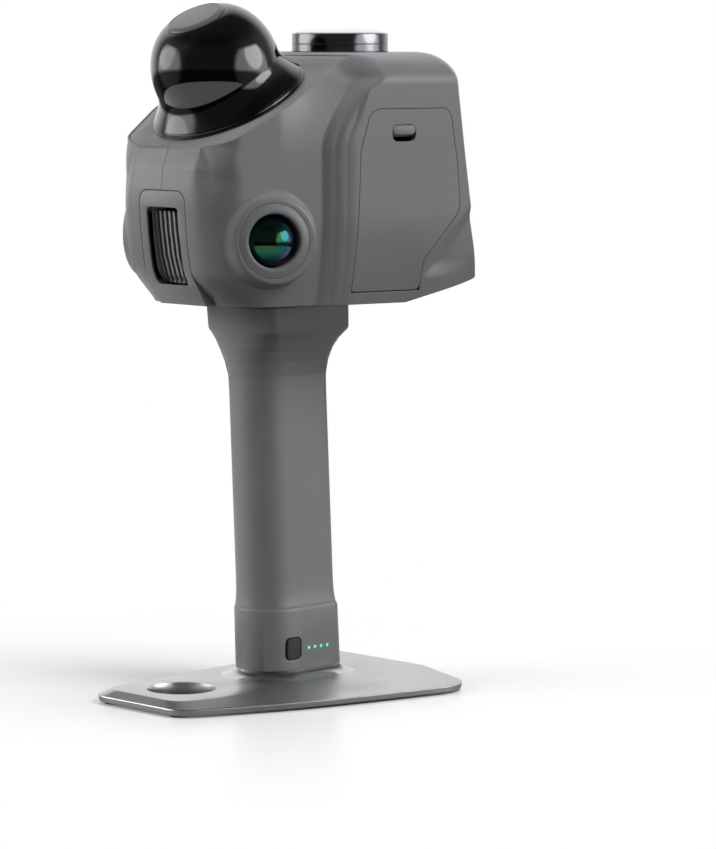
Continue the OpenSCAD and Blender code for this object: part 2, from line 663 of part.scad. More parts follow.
// standing plate: a flat band with wings that flare to the rear, the left wing a little shorter and lower
rim_pts = [[19, -85], [24.5, -83.6], [28.8, -79], [35.5, -63], [45.4, -37], [53.4, -7], [60.6, 26],
    [61.6, 34], [60.2, 40.5], [56, 46], [50, 49.4], [42, 50.6]];
flat_pts = [[14, -82], [19.5, -80.4], [23, -75], [25.4, -62], [26, -37], [28, -7], [29.8, 26],
    [30.2, 34], [30, 40.5], [29.8, 46], [29.4, 49.4], [28, 50]];
function wing(y) = 1 - 0.2 * sm((y + 60) / 90);
function wing_z(y) = mix(rim_z, 1.5, sm((y + 84) / 44));
function rim_ring(top) = concat(
    [for (p = rim_pts) [p[0] * kpx, p[1] * kpy, top ? rim_z : foot_t]],
    [for (i = [len(rim_pts) - 1:-1:0]) let(p = rim_pts[i])
        [-p[0] * wing(p[1]) * kpx, p[1] * kpy, top ? wing_z(p[1]) : foot_t]]);
function flat_ring() = concat(
    [for (p = flat_pts) [p[0] * kpx, p[1] * kpy, plate_z]],
    [for (i = [len(flat_pts) - 1:-1:0]) [-flat_pts[i][0] * kpx, flat_pts[i][1] * kpy, plate_z]]);
hole_y = -60.2 * kpy;
collar = [[5.6, 11.5], [6.3, 10.8], [6.6, 7], [7.2, 3.4], [8, 1.2]];
module base_plate() {
    color([0.7, 0.7, 0.71]) difference() {
        union() {
            loft([rim_ring(false), rim_ring(true), flat_ring()]);
            loft([for (c = collar)
                ring(c[0], foot_w + c[1], foot_f + c[1], foot_b + c[1], 15.5 + c[1], 4 + c[1])]);
        }
        translate([0, hole_y, -1]) cylinder(r = hole_r, h = 12, $fn = 72);
        for (p = foot_holes) translate([p[0], p[1], 0]) {
            cylinder(r = 1.75, h = 12, $fn = 24);
            cylinder(r = 3.2, h = foot_t + 2.4, $fn = 32);
        }
        translate([0, 0, -1]) cylinder(r = 5, h = 12, $fn = 36);
    }
}
module plate_screws() {
    color([0.55, 0.55, 0.57]) for (p = foot_holes) translate([p[0], p[1], 0]) {
        translate([0, 0, foot_t + 0.4]) cylinder(r = 2.9, h = 2, $fn = 32);
        translate([0, 0, foot_t + 2.3]) cylinder(r = 1.5, h = foot_z + 4 - foot_t - 2.3, $fn = 24);
    }
}
module tripod_insert() {
    color([0.75, 0.6, 0.3]) difference() {
        translate([0, 0, foot_t]) cylinder(r = 5, h = foot_z + 2.9 - foot_t, $fn = 36);
        translate([0, 0, 0]) cylinder(r = 2.55, h = 20, $fn = 36);
    }
}
module foot_pads() {
    color([0.04, 0.04, 0.04]) for (p = [[20, -79], [-20, -79], [50, 40], [-39, 39]])
        translate([p[0] * kpx, p[1] * kpy, 0]) cylinder(r = 4, h = foot_t, $fn = 32);
}

base_plate();
foot_pads();
plate_screws();
tripod_insert();
handle_foot();
handle_grip();
power_button();
switch_board();
led_pipes();
cell_lower();
cell_upper();
cell_cradle();
neck_plate();
neck_screws();
chassis();
main_board();
shell_right();
shell_left();
vent_panel();
heat_sink();
fan_housing();
fan_rotor();
lidar_deck();
lidar_base();
lidar_trim();
lidar_dome();
lidar_cap();
lidar_stator();
lidar_rotor();
bezel_right();
lens_right();
camera_right();
bezel_left();
lens_left();
camera_left();
dock_ring();
dock_cap();
hatch_door();
hatch_pin();
hatch_latch();
bay_tray();
storage_module();
display_bezel();
display_glass();
display_module();
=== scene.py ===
import json
import math

import bmesh
import bpy
import numpy as np
from mathutils import Matrix, Vector


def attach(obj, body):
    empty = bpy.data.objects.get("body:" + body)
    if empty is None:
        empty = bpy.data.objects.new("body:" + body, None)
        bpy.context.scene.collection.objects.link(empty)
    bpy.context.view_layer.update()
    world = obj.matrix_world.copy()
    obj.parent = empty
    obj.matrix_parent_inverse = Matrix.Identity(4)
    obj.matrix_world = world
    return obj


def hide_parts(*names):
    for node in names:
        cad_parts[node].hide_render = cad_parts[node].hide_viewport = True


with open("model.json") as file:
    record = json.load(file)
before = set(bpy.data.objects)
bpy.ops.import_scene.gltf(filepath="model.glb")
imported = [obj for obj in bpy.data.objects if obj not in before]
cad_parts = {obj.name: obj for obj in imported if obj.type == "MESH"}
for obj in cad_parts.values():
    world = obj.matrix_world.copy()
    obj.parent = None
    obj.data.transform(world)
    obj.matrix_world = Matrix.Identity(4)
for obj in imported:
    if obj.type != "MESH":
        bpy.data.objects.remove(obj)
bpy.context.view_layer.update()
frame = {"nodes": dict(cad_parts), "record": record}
nodes = frame["nodes"]
scene = bpy.context.scene
scene.view_settings.view_transform = "Standard"


def add(name, data):
    o = bpy.data.objects.new(name, data)
    scene.collection.objects.link(o)
    return o


# Camera at the photograph's viewing angle
cam_data = bpy.data.cameras.new("camera")
cam_data.sensor_width = 36
cam_data.lens = 159.17
cam_data.clip_end = 50
cam = add("camera", cam_data)
cam.matrix_world = Matrix(((0.70004, -0.07626, 0.71002, 1.1261), (0.71411, 0.07475, -0.69603, -1.0636),
                           (0, 0.99428, 0.10678, 0.2759), (0, 0, 0, 1)))
scene.camera = cam

# Node helpers. A Mix node's sockets are taken by number, one set for each data type.
FACTOR = 0
FLOAT_A, FLOAT_B, FLOAT_OUT = 2, 3, 0
COLOR_A, COLOR_B, COLOR_OUT = 6, 7, 2


def node(tree, kind, **values):
    n = tree.nodes.new(kind)
    for k, v in values.items():
        if k in n.inputs:
            n.inputs[k].default_value = v
        else:
            setattr(n, k, v)
    return n


def ramp(tree, source, start, end, low, high, **values):
    """Level that goes from low to high while the source goes from start to end."""
    n = node(tree, "ShaderNodeMapRange", **values)
    for k, v in (("From Min", start), ("From Max", end), ("To Min", low), ("To Max", high)):
        n.inputs[k].default_value = v
    tree.links.new(source, n.inputs["Value"])
    return n.outputs["Result"]


def both_of(tree, op, a, b):
    n = node(tree, "ShaderNodeMath", operation=op)
    tree.links.new(a, n.inputs[0])
    tree.links.new(b, n.inputs[1])
    return n.outputs["Value"]


# Materials: every one has grain, a slow change of colour and roughness, and a painted highlight that lightens
# the edges
NOISE_SPAN = (0.3, 0.7)
FINE_NOISE = {"Detail": 3.0, "Roughness": 0.6}
SLOW_NOISE = {"Scale": 38.0, "Detail": 4.0, "Roughness": 0.55}
PAINTED_HIGHLIGHT_SPAN = (0.995, 0.86)
PAINTED_HIGHLIGHT_GAIN, PAINTED_HIGHLIGHT_LIFT = 1.7, 0.03
GRAIN_TONE = 0.8
GRAIN_DEPTH = 0.0002
LEAST_ROUGH = 0.02


def material(name, color, rough, metal=0.0, grain=2500.0, bump=0.06, tone=0.05, rough_var=0.08, painted_highlight=0.25,
             edge=0.0005, stretch=(1, 1, 1), **extra):
    m = bpy.data.materials.new(name)
    m.use_nodes = True
    t = m.node_tree
    link = t.links.new
    b = t.nodes["Principled BSDF"]
    b.inputs["Metallic"].default_value = metal
    for k, v in extra.items():
        b.inputs[k.replace("_", " ")].default_value = v
    co = node(t, "ShaderNodeTexCoord").outputs["Object"]
    mp = node(t, "ShaderNodeMapping", Scale=stretch)
    fine = node(t, "ShaderNodeTexNoise", Scale=grain, **FINE_NOISE)
    slow = node(t, "ShaderNodeTexNoise", **SLOW_NOISE)
    link(co, mp.inputs["Vector"])
    link(mp.outputs["Vector"], fine.inputs["Vector"])
    link(co, slow.inputs["Vector"])
    # mask of the painted highlight: how far the rounded normal leaves the true one
    bev = node(t, "ShaderNodeBevel", samples=4, Radius=edge)
    geo = node(t, "ShaderNodeNewGeometry")
    dot = node(t, "ShaderNodeVectorMath", operation="DOT_PRODUCT")
    link(bev.outputs["Normal"], dot.inputs[0])
    link(geo.outputs["Normal"], dot.inputs[1])
    highlight_mask = ramp(t, dot.outputs["Value"], *PAINTED_HIGHLIGHT_SPAN, 0.0, painted_highlight)
    # colour: both noises on the base, then the painted highlight on the edges
    speck = tone * GRAIN_TONE
    shade = both_of(t, "MULTIPLY", ramp(t, slow.outputs["Fac"], *NOISE_SPAN, 1 - tone, 1 + tone),
                    ramp(t, fine.outputs["Fac"], *NOISE_SPAN, 1 - speck, 1 + speck))
    col = node(t, "ShaderNodeVectorMath", operation="SCALE")
    col.inputs[0].default_value = color
    link(shade, col.inputs["Scale"])
    # painted highlight: the base colour is made lighter along the edges
    highlighted = node(t, "ShaderNodeMix", data_type="RGBA")
    highlighted.inputs[COLOR_B].default_value = (*[min(1, c * PAINTED_HIGHLIGHT_GAIN + PAINTED_HIGHLIGHT_LIFT) for c in color], 1)
    link(highlight_mask, highlighted.inputs[FACTOR])
    link(col.outputs["Vector"], highlighted.inputs[COLOR_A])
    link(highlighted.outputs[COLOR_OUT], b.inputs["Base Color"])
    link(ramp(t, slow.outputs["Fac"], *NOISE_SPAN, max(LEAST_ROUGH, rough - rough_var), rough + rough_var),
         b.inputs["Roughness"])
    bp = node(t, "ShaderNodeBump", Strength=bump, Distance=GRAIN_DEPTH)
    link(fine.outputs["Fac"], bp.inputs["Height"])
    link(bev.outputs["Normal"], bp.inputs["Normal"])
    link(bp.outputs["Normal"], b.inputs["Normal"])
    return m


def srgb(*v):
    """Linear colour from display values of 0 to 255."""
    return tuple(((c / 255 + 0.055) / 1.055) ** 2.4 if c > 10 else c / 255 / 12.92 for c in v)


shell = material("shell_plastic", srgb(126, 127, 129), 0.38, bump=0.10)
grip = material("grip_plastic", srgb(127, 128, 129), 0.42, grain=2200, bump=0.14)
# painted light: the duct is the shell's plastic, made much lighter so that its shaded recess looks lit
duct_painted_light = material("duct_plastic_painted_light", srgb(200, 201, 203), 0.5, bump=0.10)
ring_grey = material("ring_plastic", srgb(124, 125, 127), 0.42, bump=0.08)
dark = material("dark_plastic", srgb(46, 47, 49), 0.45, bump=0.12, painted_highlight=0.15)
button_black = material("button_black", srgb(22, 22, 24), 0.4, bump=0.08, painted_highlight=0.1, Specular_IOR_Level=0.25)
dome_black = material("dome_black", srgb(7, 7, 9), 0.05, bump=0.008, rough_var=0.025, painted_highlight=0.05,
                      Coat_Weight=0.5, Coat_Roughness=0.03, Specular_IOR_Level=0.5)
cap_grey = material("cap_grey", srgb(92, 93, 94), 0.32, bump=0.04, painted_highlight=0.3)
chrome = material("dark_chrome", srgb(112, 113, 116), 0.16, metal=1.0, grain=900, bump=0.02, rough_var=0.04,
                  painted_highlight=0.4, stretch=(1, 1, 30))
plate_metal = material("plate_metal", srgb(206, 206, 207), 0.36, metal=1.0, grain=3200, bump=0.16, tone=0.03,
                       painted_highlight=0.15, edge=0.0002)
collar_metal = material("collar_metal", srgb(200, 200, 202), 0.2, metal=1.0, grain=2400, bump=0.06, tone=0.03,
                        painted_highlight=0.3)
fin_metal = material("fin_metal", srgb(150, 151, 153), 0.5, metal=0.5, grain=1800, bump=0.1, painted_highlight=0.3)
disc_white = material("disc_white", srgb(226, 226, 226), 0.3, grain=2600, bump=0.05, tone=0.02)
steel = material("steel", srgb(190, 190, 194), 0.3, metal=1.0, grain=1500, bump=0.08, stretch=(1, 1, 12))
pin_steel = material("pin_steel", srgb(70, 70, 73), 0.4, metal=1.0, bump=0.08)
brass = material("brass", srgb(205, 172, 96), 0.3, metal=1.0, grain=1500, bump=0.08)
rubber = material("rubber_black", srgb(30, 30, 31), 0.75, grain=1600, bump=0.3, painted_highlight=0.1)
mirror = material("mirror", srgb(216, 219, 222), 0.06, metal=1.0, bump=0.01, rough_var=0.03, painted_highlight=0.1)
board = material("board_green", srgb(34, 96, 70), 0.38, grain=1200, bump=0.1, painted_highlight=0.2)
cell = material("cell_blue", srgb(70, 112, 168), 0.33, bump=0.04)
LED_COLOR = srgb(120, 238, 206)
led = material("led_green", LED_COLOR, 0.2, bump=0.02, painted_highlight=0.1, Emission_Color=(*LED_COLOR, 1),
               Emission_Strength=0.55)
lens_coat = material("lens_glass", srgb(6, 8, 10), 0.04, bump=0.004, rough_var=0.015, painted_highlight=0.05,
                     Specular_IOR_Level=0.35, Thin_Film_Thickness=420.0, Thin_Film_IOR=1.6)
pane_black = material("display_black", srgb(8, 8, 10), 0.08, bump=0.006, rough_var=0.03, painted_highlight=0.05)

by_slot = {"shell_grey": shell, "grip_grey": grip, "dark_plastic": dark, "dome_black": dome_black,
           "cap_grey": cap_grey, "dark_chrome": chrome, "plate_metal": plate_metal, "fin_metal": fin_metal,
           "steel": steel, "brass": brass, "rubber_black": rubber, "lens_glass": lens_coat,
           "display_black": pane_black, "mirror": mirror, "board_green": board, "cell_blue": cell,
           "led_green": led}
for part in frame["record"]["subparts"]:
    o = nodes[part["node"]]
    o.data.materials.clear()
    o.data.materials.append(by_slot[part["material_slot"]])
nodes["hatch_pin"].data.materials[0] = pin_steel

# Mesh helpers: points and sizes in millimetres
MM = 0.001
MERGE = 1e-7
MIRROR = Matrix.Diagonal((-1, 1, 1, 1))


def from_bmesh(name, bm):
    me = bpy.data.meshes.new(name)
    bm.to_mesh(me)
    bm.free()
    return add(name, me)


def build(name, verts, faces):
    bm = bmesh.new()
    vs = [bm.verts.new(v) for v in (np.asarray(verts, float) * MM).tolist()]
    for f in faces:
        bm.faces.new([vs[i] for i in f])
    bmesh.ops.remove_doubles(bm, verts=bm.verts, dist=MERGE)
    bmesh.ops.dissolve_degenerate(bm, edges=bm.edges, dist=MERGE)
    bmesh.ops.recalc_face_normals(bm, faces=bm.faces)
    return from_bmesh(name, bm)


def quads(m, n, steps):
    """Faces between m rings of n points, over the given number of steps from ring to ring."""
    return [(j * n + i, j * n + (i + 1) % n, (j + 1) % m * n + (i + 1) % n, (j + 1) % m * n + i)
            for j in range(steps) for i in range(n)]


def loft(name, rings):
    rings = np.asarray(rings, float)
    m, n = rings.shape[:2]
    caps = [tuple(range(n))[::-1], tuple(range((m - 1) * n, m * n))]
    return build(name, rings.reshape(-1, 3), quads(m, n, m - 1) + caps)


def revolve(name, profile, at, n=128):
    a = np.linspace(0, 2 * math.pi, n, endpoint=False)
    p = np.asarray(profile, float)
    pts = np.stack([np.outer(p[:, 0], np.cos(a)), np.outer(p[:, 0], np.sin(a)),
                    np.repeat(p[:, 1:2], n, 1)], -1)
    return place(build(name, pts.reshape(-1, 3), quads(len(p), n, len(p))), at)


def rod(name, r, z0, z1, at, n=128):
    return revolve(name, [[0, z0], [r, z0], [r, z1], [0, z1]], at, n)


def prism(name, outline, z0, z1, at):
    p = np.asarray(outline, float)
    return place(loft(name, [np.c_[p, np.full(len(p), z)] for z in (z0, z1)]), at)


def place(o, at):
    m = at.copy()
    m.translation = m.translation * MM
    o.data.transform(m)
    return o


def join(name, objs):
    bm = bmesh.new()
    for o in objs:
        bm.from_mesh(o.data)
        bpy.data.objects.remove(o)
    return from_bmesh(name, bm)


def mirrored(o, name):
    c = add(name, o.data.copy())
    c.data.transform(MIRROR)
    c.data.flip_normals()
    return c


def settle(o):
    bpy.context.view_layer.update()
    me = bpy.data.meshes.new_from_object(o.evaluated_get(bpy.context.evaluated_depsgraph_get()))
    o.modifiers.clear()
    o.data = me
    return o


def cut(o, tool, op="DIFFERENCE"):
    m = o.modifiers.new("cut", "BOOLEAN")
    m.operation = op
    m.solver = "EXACT"
    m.object = tool
    settle(o)
    bpy.data.objects.remove(tool)
    return o


def soften(o, width, segments=2, angle=35):
    m = o.modifiers.new("bevel", "BEVEL")
    m.width = width * MM
    m.segments = segments
    m.limit_method = "ANGLE"
    m.angle_limit = math.radians(angle)
    m.use_clamp_overlap = True
    return settle(o)


def piece(o, mat, body, slot, *stands_for, angle=30):
    o.data.materials.clear()
    o.data.materials.append(mat)
    o.data.polygons.foreach_set("material_index", [0] * len(o.data.polygons))
    o.data.shade_smooth()
    o.data.set_sharp_from_angle(angle=math.radians(angle))
    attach(o, body)
    if stands_for:
        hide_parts(*stands_for)


def turn(axis, deg):
    return Matrix.Rotation(math.radians(deg), 4, axis)


def move(*v):
    return Matrix.Translation(Vector(v))


# Shape of the head: the same functions as the solids, on a finer grid, and the lens bosses besides.
# z runs from the underside of the head, and o is the distance inwards from the outer skin.
HEAD_Z, HEAD_H = 162.3, 101
CROWN_Z, CROWN_H, CROWN_IN = 89, 12, 20
WALL = 2.6
SEAM_X, HOLLOW_X = 0.06, -4
LEAST_X = 0.5
DECK_M, DECK_Y, DECK_Z = 0.545, -32.9, 81.7
SIDE_X, SIDE_Y, SIDE_M, SIDE_COS = 50.4, -8, 0.225, 0.9756
CHAMFER_U, CHAMFER_V = 31.2, 17.2
LENS = np.array([36.05, -44.0, 26.9])
LENS_TURN, LENS_COS, LENS_SIN = 22, 0.9272, 0.3746
BOSS_R, BOSS_H, BOSS_SHOULDER = 19.8, 4.5, 4.6
# heights and places of the nose line, and of the vent panel in front of it
NOSE = np.array([[0, -52.8], [6.5, -59.6], [11.5, -64.6], [14.5, -66.3], [20, -67.3], [28, -68.4],
                 [40, -69.4], [47, -69.5], [55.7, -68.6], [64.2, -65.4]])
PANEL = np.array([[0, -57.8], [6, -61.4], [11.5, -64.9], [14.5, -66.3], [20, -67.3], [28, -68.4],
                  [40, -69.4], [47, -69.5]])
EASE = np.linspace(-2.0, 2.0, 9)
EASED_TO = 50


def cl(t):
    return np.clip(t, 0, 1)


def sm(t):
    u = cl(t)
    return u * u * (3 - 2 * u)


def mix(a, b, t):
    return a + (b - a) * t


def arcf(t, p):
    return np.maximum(0, 1 - (1 - cl(t)) ** p) ** (1 / p)


def eased(z, table):
    return np.mean([np.interp(z + d, table[:, 0], table[:, 1]) for d in EASE], 0)


def nose_y(z):
    return np.where(np.asarray(z) > EASED_TO, np.interp(z, NOSE[:, 0], NOSE[:, 1]), eased(z, NOSE))


def deck_zy(y):
    return DECK_Z + DECK_M * (y - DECK_Y)


def deck_yz(z):
    return DECK_Y + (z - DECK_Z) / DECK_M


def crease(y):
    """Half width of the head along the deck's edge."""
    front = 19 + 19.4 * arcf((y + 65.4) / 26, 2.4)
    rear = 38.4 - 9 * (np.maximum(0, y + 25) / 24) ** 2.5
    return np.where(y < -39.4, front, np.where(y > -25, rear, 38.4))


def ridge(z):
    """Where the side starts to step out from its front part to its rear part."""
    return -22.5 + 17.5 * (np.maximum(0, np.minimum(z, 91) - 62.7) / 26) ** 1.7


def ridge_d(z):
    """Distance from one step to the next."""
    return 4.6 - 3.4 * sm((z - 72) / 18)


def ridge_w(z):
    """Width of one step."""
    return np.minimum(ridge_d(z), 4.6 - 2.4 * sm((z - 58) / 16))


def riser(t):
    return 1 - (1 - cl(t)) ** 1.8


def swell(y, z):
    """Share of the rear side: 0 in front of the ridge, 1 behind it."""
    a, d, w = y - ridge(z), ridge_d(z), ridge_w(z)
    steps = (riser(a / w) + riser((a - d) / w) + riser((a - 2 * d) / w)) / 3
    low = mix(steps, riser(a / (2 * d + w)), 0.5)
    return mix(low, sm((a + 5) / (2 * d + w + 8)), sm((z - 84) / 10))


def scoop(y, z):
    """Hollow behind the slanted lower edge of the hatch."""
    a = ((y - SIDE_Y) / SIDE_COS - CHAMFER_U) * 0.758 - (z - CHAMFER_V) * 0.653
    return 1.4 * sm((a - 2.5) / 4) * (1 - sm((a - 6) / 14)) * sm((z - 9) / 8)


def tuck(z):
    """How far the side draws in towards the underside."""
    return 4 * cl((37.7 - z) / 37.7) ** 2


def crown(z):
    """How far the side draws in over the rounded top."""
    t = cl((z - CROWN_Z) / CROWN_H)
    return CROWN_IN * (1 - np.sqrt(np.maximum(0, 1 - t * t)))


def side(y, z):
    w = 36.4 + 0.3 * (y + 46.5)
    f = w - tuck(z) - np.maximum(0, w - crease(y)) * cl(1 - (deck_zy(y) - z) / 26) ** 2
    r = SIDE_X + SIDE_M * (y - SIDE_Y) - tuck(z) - crown(z) - scoop(y, z)
    return mix(f, r, swell(y, z))


def front_y(z, o):
    return np.maximum(nose_y(z) + o, np.where(np.asarray(z) < 60, -99, deck_yz(z) + o * 2.09))


def wall_y(z):
    return 57 - 0.06 * (z - 14) - 0.05 * crown(z)


def rear_y(z, o):
    a, b = 16.5 + 3.9 * z - 4.03 * o, wall_y(z) - o
    return np.minimum(a, b) - 6 * cl(1 - np.abs(a - b) / 24) ** 2


def corner_y(z):
    return np.minimum(wall_y(z) - 3, 51.4 - 0.135 * (z - 14)) - 0.3 * crown(z)


def out_x(y, z, o, boss):
    """Half width of the head."""
    yr, s, w = wall_y(z), side(y, z), 42.2 - 0.9 * crown(z)
    flat = 15 + 4 * sm((z - 46) / 18) - 1.5 * cl((20 - z) / 20)
    a = flat + (s - flat) * arcf((y - o - nose_y(z)) / (14 - 5 * sm((z - 50) / 12)), 2.2)
    x = np.minimum(a, w + (s - w) * arcf((yr - o - y) / (yr - corner_y(z) + 4), 1.1)) - o
    if boss:
        # the wall swells into a round boss that faces along the lens, found in three rounds
        for _ in range(3):
            dx, dy = x - LENS[0], y - LENS[1]
            r = np.hypot(dx * LENS_SIN + dy * LENS_COS, z - LENS[2])
            h = dx * LENS_COS - dy * LENS_SIN
            x = x + np.maximum(0, BOSS_H - h) * sm((BOSS_R - r) / BOSS_SHOULDER) / LENS_COS
    return np.maximum(LEAST_X, x)


def columns(z, o):
    """Points from nose to rear on each row, closer together on the steps of the ridge."""
    k0, k5 = front_y(z, o), rear_y(z, o)
    k1 = np.maximum(ridge(z), k0 + 2)
    k2, k3 = k1 + ridge_d(z), k1 + 2 * ridge_d(z)
    k4 = np.minimum(k3 + ridge_w(z), k5 - 3)
    k3, k2, k1 = np.minimum(k3, k4 - 0.4), np.minimum(k2, k4 - 0.8), np.minimum(k1, k4 - 1.2)
    kc = np.maximum(np.minimum(corner_y(z) - 4, k5 - 1), k4 + 1)
    y = []
    for a, b, n, p in ((k0, k1, 72, 1.2), (k1, k2, 8, 1), (k2, k3, 8, 1), (k3, k4, 8, 1), (k4, kc, 44, 1),
                       (kc, k5, 9, 0.8)):
        y += [mix(a, b, (i / n) ** p) for i in range(n)]
    return np.stack(y + [k5], 1)


def skin(name, zs, o, x0, boss):
    zs = np.asarray(zs, float)
    y = columns(zs, o)
    z = np.repeat(zs[:, None], y.shape[1], 1)
    ring = np.stack([out_x(y, z, o, boss), y, z + HEAD_Z], -1)
    ends = np.stack([np.full((len(zs), 2), x0), y[:, [0, -1]], z[:, [0, -1]] + HEAD_Z], -1)
    return loft(name, np.concatenate([ends[:, :1], ring, ends[:, 1:]], 1))


OUTER_ROWS = np.concatenate([np.linspace(0, 3, 4)[:-1], np.linspace(3, 52, 64), np.linspace(52.8, 55.7, 5),
                             np.linspace(56.4, 64.2, 11), np.linspace(65, CROWN_Z, 26)[:-1],
                             CROWN_Z + CROWN_H * np.sin(np.radians(np.linspace(0, 90, 15)))])
INNER_ROWS = mix(WALL, HEAD_H - WALL, np.r_[np.linspace(0, 20, 9), np.linspace(24, 60, 10),
                                            np.linspace(63, HEAD_H, 22)] / HEAD_H)

# Local frames and outlines
DECK_T = 3
DECK_FRONT, DECK_L = -64.2, 64.4
DECK_TILT = math.degrees(math.atan(DECK_M))
DISPLAY_Z, DISPLAY_M = 55, 0.06
PIN_U, PIN_V, PIN_DEPTH, PIN_L = -2.4, 6.8, -4.1, 32.6
SLOT_W, SLOT_V = 5.6, 68.8
LATCH_UP = 1.2
PANEL_W = 13.6
FIT = 0.25

at_deck = move(0, DECK_Y, HEAD_Z + DECK_Z) @ turn("X", DECK_TILT)
at_lens = move(LENS[0], LENS[1], HEAD_Z + LENS[2]) @ turn("Z", -LENS_TURN) @ turn("Y", 90)
at_hatch = (move(SIDE_X, SIDE_Y, HEAD_Z) @ turn("Z", -math.degrees(math.atan(SIDE_M))) @ turn("Z", 90)
            @ turn("X", 90))
at_pin = at_hatch @ move(PIN_U, PIN_V, PIN_DEPTH) @ turn("Y", 90)
at_slot = at_hatch @ move(15.4 + SLOT_W, SLOT_V, 0)
at_latch = at_slot @ move(0, LATCH_UP, 0)
at_rear = (move(0, float(rear_y(DISPLAY_Z, 0)), HEAD_Z + DISPLAY_Z)
           @ turn("X", math.degrees(math.atan(DISPLAY_M))) @ turn("Z", 180) @ turn("X", 90))
at_nose = move(0, 0, HEAD_Z) @ turn("X", 90)


def deck_outline(d):
    y = DECK_FRONT + DECK_L * np.linspace(0, 1, 60) ** 1.5
    x = out_x(y, deck_zy(y), 0, False) - 1.3 + d
    v = (y - DECK_Y) / math.cos(math.radians(DECK_TILT))
    v[0] -= d
    v[-1] += d
    return np.r_[np.c_[x, v], np.c_[-x, v][::-1]]


def rounded(x0, y0, x1, y1, r, n=8, corners=(1, 1, 1, 1)):
    out = []
    for (cx, cy, a), on in zip(((x1, y0, -90), (x1, y1, 0), (x0, y1, 90), (x0, y0, 180)), corners):
        if not on:
            out.append((cx, cy))
            continue
        px, py = cx + (r if cx == x0 else -r), cy + (r if cy == y0 else -r)
        turns = [math.radians(a + 90 * i / n) for i in range(n + 1)]
        out += [(px + r * math.cos(u), py + r * math.sin(u)) for u in turns]
    return np.array(out)


def vent_face(d):
    return rounded(-PANEL_W - d, -4, PANEL_W + d, 46.4 + d, 5, 10, (0, 1, 1, 0))


def offset(poly, d, r, n=5):
    """Moves the outline out by d, then rounds its corners with a radius of about r."""
    p = np.asarray(poly, float)
    e = np.roll(p, -1, 0) - p
    e /= np.linalg.norm(e, axis=1)[:, None]
    nrm = np.c_[e[:, 1], -e[:, 0]]
    pn = np.roll(nrm, 1, 0)
    q = p + d * (nrm + pn) / (1 + np.sum(nrm * pn, 1))[:, None]
    out = []
    for i in range(len(q)):
        a, b, c = q[i - 1], q[i], q[(i + 1) % len(q)]
        la, lc = np.linalg.norm(a - b), np.linalg.norm(c - b)
        k = min(r, 0.4 * la, 0.4 * lc)
        s, f = b + (a - b) / la * k, b + (c - b) / lc * k
        out += [(1 - t) ** 2 * s + 2 * t * (1 - t) * b + t * t * f for t in np.linspace(0, 1, n)]
    return np.array(out)


def across(name, profile, x):
    """Solid with one side profile, from -x to x."""
    return loft(name, [np.c_[np.full(len(profile), s), profile[:, 0], profile[:, 1] + HEAD_Z]
                       for s in (-x, x)])


HATCH = np.array([[-2.5, 5], [28.9, 5], [30.1, 6.6], [CHAMFER_U, CHAMFER_V], [47.4, 36], [48.2, 40],
                  [46.6, 57.5], [43.8, 75.5], [41.3, 78.7], [8.5, 78.7], [4.8, 76.3], [0.4, 62.4],
                  [-0.4, 40]])
VENT = rounded(-9.4, 8.4, 9.4, 39.8, 2.0)
THROUGH_SKIN = (-12, 8)
DOOR_GAP = 0.18
HINGE_ROOM = 2.3

# Head shells, hatch and latch
whole = cut(skin("head_shell_right", OUTER_ROWS, 0, SEAM_X, True),
            skin("hollow", INNER_ROWS, WALL, HOLLOW_X, False))
left = mirrored(whole, "head_shell_left")
tool = join("tools", [prism("t", deck_outline(FIT), -DECK_T - 0.2, 17, at_deck),
                      prism("t", vent_face(FIT), 51, 85, at_nose),
                      prism("t", rounded(-38, -26, 38, 30, 1.5), *THROUGH_SKIN, at_rear),
                      rod("t", 15.04, -8, 16, at_lens, 160)])
tool_left = mirrored(tool, "tools_left")
door = add("hatch_panel", whole.data.copy())
cut(whole, tool)
cut(left, tool_left)
cut(whole, prism("t", offset(HATCH, 0, 1.6), *THROUGH_SKIN, at_hatch))
cut(whole, rod("t", HINGE_ROOM, 0, PIN_L, at_pin, 40))
cut(door, prism("t", offset(HATCH, -DOOR_GAP, 1.5), *THROUGH_SKIN, at_hatch), "INTERSECT")
cut(door, prism("t", rounded(-SLOT_W, -3.4, SLOT_W, 3.4, 2.6), *THROUGH_SKIN, at_slot))
piece(whole, shell, "frame", "shell_grey", "shell_right")
piece(left, shell, "frame", "shell_grey", "shell_left")
piece(door, shell, "hatch", "shell_grey", "hatch_door")
knuckle = revolve("hatch_knuckle", [[0.76, 6], [1.2, 6], [1.35, 6.15], [1.35, 26.4], [1.2, 26.55],
                                    [0.76, 26.55]], at_pin, 40)
piece(knuckle, shell, "hatch", "shell_grey")

tongue = prism("latch_tongue", rounded(-5.35, -1.95, 5.35, 1.95, 1.85, 10), -3.1, 0.12, at_latch)
soften(tongue, 0.3, 3)
latch_plate = prism("latch_plate", rounded(-8.6, -2.8, 8.6, 2.8, 0.8), -4.5, -3.0, at_latch)
tongue = join("latch_tongue", [tongue, soften(latch_plate, 0.2)])
piece(tongue, shell, "latch", "shell_grey", "hatch_latch")

# Front panel with the vent's duct
PANEL_T = 2.8
DUCT_BACK = -58.5
zs = np.linspace(0.2, 47, 70)
panel = across("front_panel", np.r_[np.c_[eased(zs, PANEL), zs],
                                    np.c_[eased(zs, NOSE) + PANEL_T, zs][::-1]], PANEL_W)
cut(panel, prism("t", vent_face(0), 45, 90, at_nose), "INTERSECT")
cut(panel, prism("t", VENT, 54, 90, at_nose))
soften(panel, 0.45, 3, 40)
piece(panel, shell, "frame", "shell_grey", "vent_panel")
